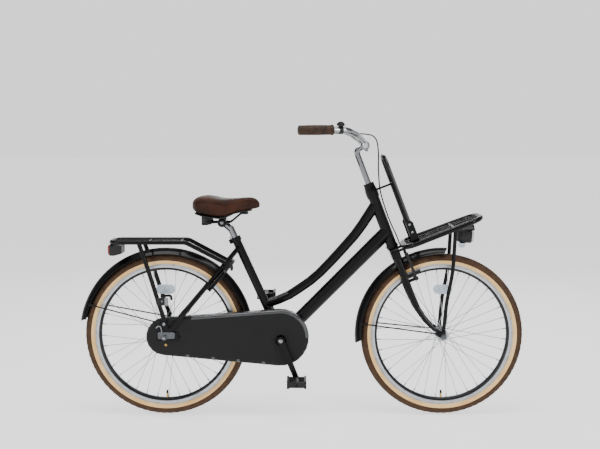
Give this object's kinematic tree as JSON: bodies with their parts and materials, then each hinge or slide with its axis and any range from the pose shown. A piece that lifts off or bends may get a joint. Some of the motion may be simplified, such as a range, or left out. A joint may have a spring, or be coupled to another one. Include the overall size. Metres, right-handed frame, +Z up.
{
  "type": "dutch city bike",
  "caption": "Child's single-speed city bicycle with step-through frame, front and rear carriers, mudguards, closed chain case, ring lock, bell, side stand and leather saddle",
  "frame": {"origin": "on the floor, on the bicycle's middle plane, half way along its length", "axes": "+X forward, the way the bicycle rides; +Y to the rider's left; +Z up"},
  "size_m": [1.6396, 0.632, 1.0861],
  "materials": {
    "black_paint": "satin",
    "black_plastic": "satin",
    "case_plastic": "matte",
    "black_rubber": "matte",
    "tyre_rubber": "matte",
    "chrome": "polished",
    "steel": "satin",
    "zinc": "satin",
    "rim_alloy": "satin",
    "brown_leather": "satin",
    "clear_lens": "clear",
    "red_lens": "gloss",
    "grey_lens": "gloss"
  },
  "bodies": {
    "frame": {"head_tube": "black_paint", "top_tube": "black_paint", "down_tube": "black_paint", "seat_tube": "black_paint", "chain_stays": "black_paint", "seat_stays": "black_paint", "seat_clamp": "black_paint", "coaster_brake_arm": "zinc", "chain": "steel", "chain_case_outer": "case_plastic", "chain_case_inner": "case_plastic", "rear_axle": "steel", "rear_mudguard": "black_paint", "rear_carrier_deck": "black_paint", "right_carrier_leg": "black_paint", "left_carrier_leg": "black_paint", "tail_light_body": "black_plastic", "tail_light_lens": "red_lens", "ring_lock_body": "black_plastic"},
    "seat": {"seat_post": "chrome", "saddle_rails": "steel", "saddle_base": "black_plastic", "saddle_cover": "brown_leather"},
    "steering": {"fork": "black_paint", "headset_cover": "black_plastic", "stem": "chrome", "handlebar": "chrome", "right_grip": "brown_leather", "left_grip": "brown_leather", "bell_base": "black_plastic", "bell_dome": "black_paint", "brake_lever_bracket": "black_plastic", "brake_cable": "black_rubber", "front_carrier_deck": "black_paint", "front_carrier_upright": "black_paint", "front_carrier_legs": "black_paint", "headlight_body": "black_plastic", "headlight_lens": "clear_lens", "front_mudguard": "black_paint", "front_axle": "steel"},
    "bell_lever": {"bell_lever": "black_plastic"},
    "brake_lever": {"brake_lever": "black_plastic"},
    "right_brake_arm": {"right_brake_arm": "black_plastic"},
    "left_brake_arm": {"left_brake_arm": "black_plastic"},
    "driver": {"rear_sprocket": "steel"},
    "crankset": {"crank_spindle": "steel", "right_crank": "black_paint", "left_crank": "black_paint"},
    "right_pedal": {"right_pedal": "black_plastic"},
    "left_pedal": {"left_pedal": "black_plastic"},
    "kickstand_leg": {"kickstand_leg": "black_paint"},
    "ring_lock_shackle": {"ring_lock_shackle": "chrome"},
    "front_wheel": {"front_tyre": "tyre_rubber", "front_rim": "rim_alloy", "front_hub": "steel", "front_reflector": "grey_lens"},
    "rear_wheel": {"rear_tyre": "tyre_rubber", "rear_rim": "rim_alloy", "rear_hub": "steel", "rear_reflector": "grey_lens"}
  },
  "joints": [
    {"name": "steering", "type": "hinge", "parent": "frame", "child": "steering", "pos_m": [0.46672, 0, 0.28043], "axis": [-0.3584, 0, 0.9336], "range_deg": [-60, 60]},
    {"name": "front_wheel_spin", "type": "hinge", "parent": "steering", "child": "front_wheel", "pos_m": [0.519, 0, 0.3005], "axis": [0, 1, 0], "continuous": true},
    {"name": "rear_wheel_spin", "type": "hinge", "parent": "frame", "child": "rear_wheel", "pos_m": [-0.504, 0, 0.3005], "axis": [0, 1, 0], "continuous": true},
    {"name": "crank_spin", "type": "hinge", "parent": "frame", "child": "crankset", "pos_m": [-0.078, 0, 0.289], "axis": [0, 1, 0], "continuous": true, "deforming": ["chain"]},
    {"name": "driver_spin", "type": "hinge", "parent": "frame", "child": "driver", "pos_m": [-0.504, 0, 0.3005], "axis": [0, 1, 0], "continuous": true},
    {"name": "right_pedal_spin", "type": "hinge", "parent": "crankset", "child": "right_pedal", "pos_m": [-0.01983, 0, 0.14857], "axis": [0, 1, 0], "continuous": true},
    {"name": "left_pedal_spin", "type": "hinge", "parent": "crankset", "child": "left_pedal", "pos_m": [-0.13617, 0, 0.42943], "axis": [0, 1, 0], "continuous": true},
    {"name": "brake_lever", "type": "hinge", "parent": "steering", "child": "brake_lever", "pos_m": [0.14032, 0.26979, 1.05034], "axis": [0.1015, 0.2068, 0.9731], "range_deg": [0, 12], "stiffness_Nm_per_rad": 1, "springref_deg": -5.73},
    {"name": "right_brake_arm", "type": "hinge", "parent": "steering", "child": "right_brake_arm", "pos_m": [0.41891, -0.0415, 0.5138], "axis": [0.9336, 0, 0.3584], "range_deg": [-4, 0]},
    {"name": "left_brake_arm", "type": "hinge", "parent": "steering", "child": "left_brake_arm", "pos_m": [0.41891, 0.0415, 0.5138], "axis": [0.9336, 0, 0.3584], "range_deg": [0, 4]},
    {"name": "bell_lever", "type": "hinge", "parent": "steering", "child": "bell_lever", "pos_m": [0.13993, -0.26756, 1.07268], "axis": [0.0216, 0, 0.9998], "range_deg": [-20, 0], "stiffness_Nm_per_rad": 0.05, "springref_deg": 11.46},
    {"name": "kickstand", "type": "hinge", "parent": "frame", "child": "kickstand_leg", "pos_m": [-0.128, 0.046, 0.253], "axis": [0, 0.9397, 0.342], "range_deg": [-95, 0]},
    {"name": "lock_shackle", "type": "hinge", "parent": "frame", "child": "ring_lock_shackle", "pos_m": [-0.32075, 0, 0.52007], "axis": [0.7678, 0, -0.6407], "range_deg": [0, 80]},
    {"name": "seat_height", "type": "slide", "parent": "frame", "child": "seat", "axis": [-0.4147, 0, 0.91], "range_m": [0, 0.09]}
  ],
  "couplings": [
    {"joint": "driver_spin", "follows": "crank_spin", "ratio": 2},
    {"joint": "right_brake_arm", "follows": "brake_lever", "ratio": -0.3},
    {"joint": "left_brake_arm", "follows": "brake_lever", "ratio": 0.3}
  ]
}
